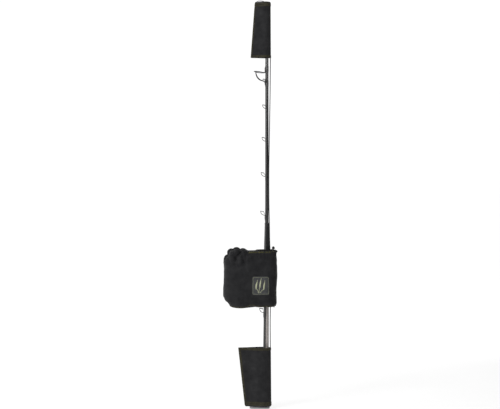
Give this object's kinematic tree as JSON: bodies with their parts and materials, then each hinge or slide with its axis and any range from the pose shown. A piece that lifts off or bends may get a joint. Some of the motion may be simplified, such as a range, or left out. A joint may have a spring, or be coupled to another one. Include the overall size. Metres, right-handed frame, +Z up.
{
  "type": "fishing rod",
  "caption": "Two-piece spinning rod packed for transport: sections side by side in tapered neoprene end caps joined by an elastic cord, with the reel in a padded pouch.",
  "frame": {"origin": "on the butt section's axis, in the plane of the sole under the bottom cap", "axes": "+Z up along the rod, towards both tips; the guides and the reel face -X"},
  "size_m": [0.196, 0.131, 1.4715],
  "materials": {
    "blank": "gloss",
    "tip_blank": "gloss",
    "rubber": "matte",
    "foam": "matte",
    "plastic": "satin",
    "alloy": "satin",
    "guide_frame": "satin",
    "ceramic": "polished",
    "brass": "machined",
    "steel": "polished",
    "line": "satin",
    "neoprene": "knitted jersey face over foam",
    "webbing": "woven",
    "sole": "matte",
    "cord": "braided",
    "emblem": "embroidered"
  },
  "bodies": {
    "root": {"butt_blank": "blank", "joint_spigot": "tip_blank", "butt_cap": "rubber", "rear_grip": "foam", "reel_seat": "plastic", "fixed_hood": "alloy", "fore_grip": "foam", "winding_check": "alloy", "stripper_frame": "guide_frame", "stripper_ring": "ceramic", "tip_blank": "tip_blank", "joint_collar": "alloy", "guide_1_frame": "guide_frame", "guide_1_ring": "ceramic", "guide_2_frame": "guide_frame", "guide_2_ring": "ceramic", "guide_3_frame": "guide_frame", "guide_3_ring": "ceramic", "guide_4_frame": "guide_frame", "guide_4_ring": "ceramic", "guide_5_frame": "guide_frame", "guide_5_ring": "ceramic", "guide_6_frame": "guide_frame", "guide_6_ring": "ceramic", "guide_7_frame": "guide_frame", "guide_7_ring": "ceramic", "guide_8_frame": "guide_frame", "guide_8_ring": "ceramic", "tip_top_frame": "guide_frame", "tip_top_ring": "ceramic", "reel_body": "alloy", "side_cover": "alloy", "drive_bearing": "steel", "pinion_bearing": "steel", "pouch": "neoprene", "draw_cord": "cord", "cord_lock": "plastic", "elastic_cord": "cord"},
    "hood": {"sliding_hood": "alloy"},
    "nut": {"lock_nut": "alloy"},
    "rotor": {"rotor": "alloy", "pinion": "brass"},
    "bail": {"bail_arm": "alloy", "bail_wire": "steel"},
    "roller": {"line_roller": "steel"},
    "shaft": {"main_shaft": "steel", "stroke_slider": "brass"},
    "spool": {"spool": "alloy", "line": "line"},
    "drag": {"drag_knob": "alloy"},
    "crank": {"drive_gear": "brass", "crank_arm": "alloy"},
    "knob": {"crank_knob": "foam"},
    "lever": {"anti_reverse_lever": "plastic"},
    "top_cap": {"top_cap": "neoprene", "top_tab": "webbing"},
    "bottom_cap": {"bottom_cap": "neoprene", "sole_pad": "sole"},
    "button": {"lock_button": "plastic"}
  },
  "joints": [
    {"name": "top_cap_slide", "type": "slide", "parent": "root", "child": "top_cap", "axis": [0, 0, 1], "range_m": [0, 0.2]},
    {"name": "bottom_cap_slide", "type": "slide", "parent": "root", "child": "bottom_cap", "axis": [0, 0, -1], "range_m": [0, 0.15], "stiffness_N_per_m": 30, "springref_m": -0.15},
    {"name": "nut_turn", "type": "hinge", "parent": "hood", "child": "nut", "pos_m": [0, 0, 0.535], "axis": [0, 0, 1], "range_deg": [0, 2890]},
    {"name": "hood_slide", "type": "slide", "parent": "root", "child": "hood", "axis": [0, 0, 1], "range_m": [0, 0.012]},
    {"name": "crank_turn", "type": "hinge", "parent": "root", "child": "crank", "pos_m": [-0.07, 0, 0.447], "axis": [0, 1, 0], "continuous": true},
    {"name": "rotor_spin", "type": "hinge", "parent": "root", "child": "rotor", "pos_m": [-0.08, 0, 0.495], "axis": [0, 0, 1], "continuous": true},
    {"name": "bail_flip", "type": "hinge", "parent": "rotor", "child": "bail", "pos_m": [-0.08, 0, 0.516], "axis": [1, 0, 0], "range_deg": [0, 110], "stiffness_Nm_per_rad": 0.01, "springref_deg": -57.3},
    {"name": "roller_spin", "type": "hinge", "parent": "bail", "child": "roller", "pos_m": [-0.1144, 0.01425, 0.52598], "axis": [0.7071, 0.5792, 0.4056], "continuous": true},
    {"name": "spool_stroke", "type": "slide", "parent": "root", "child": "shaft", "axis": [0, 0, 1], "range_m": [0, 0.01]},
    {"name": "spool_spin", "type": "hinge", "parent": "shaft", "child": "spool", "pos_m": [-0.08, 0, 0.528], "axis": [0, 0, 1], "continuous": true},
    {"name": "drag_turn", "type": "hinge", "parent": "shaft", "child": "drag", "pos_m": [-0.08, 0, 0.545], "axis": [0, 0, 1], "range_deg": [-720, 720]},
    {"name": "knob_spin", "type": "hinge", "parent": "crank", "child": "knob", "pos_m": [-0.07, 0.056, 0.399], "axis": [0, 1, 0], "continuous": true},
    {"name": "lever_flip", "type": "hinge", "parent": "root", "child": "lever", "pos_m": [-0.088, 0, 0.4164], "axis": [0, 1, 0], "range_deg": [0, 35]},
    {"name": "button_press", "type": "slide", "parent": "root", "child": "button", "axis": [0, -1, 0], "range_m": [0, 0.0035], "stiffness_N_per_m": 400, "springref_m": -0.002}
  ],
  "couplings": [
    {"joint": "rotor_spin", "follows": "crank_turn", "ratio": 5},
    {"joint": "nut_turn", "follows": "hood_slide", "rad_per_m": 4188.8}
  ]
}
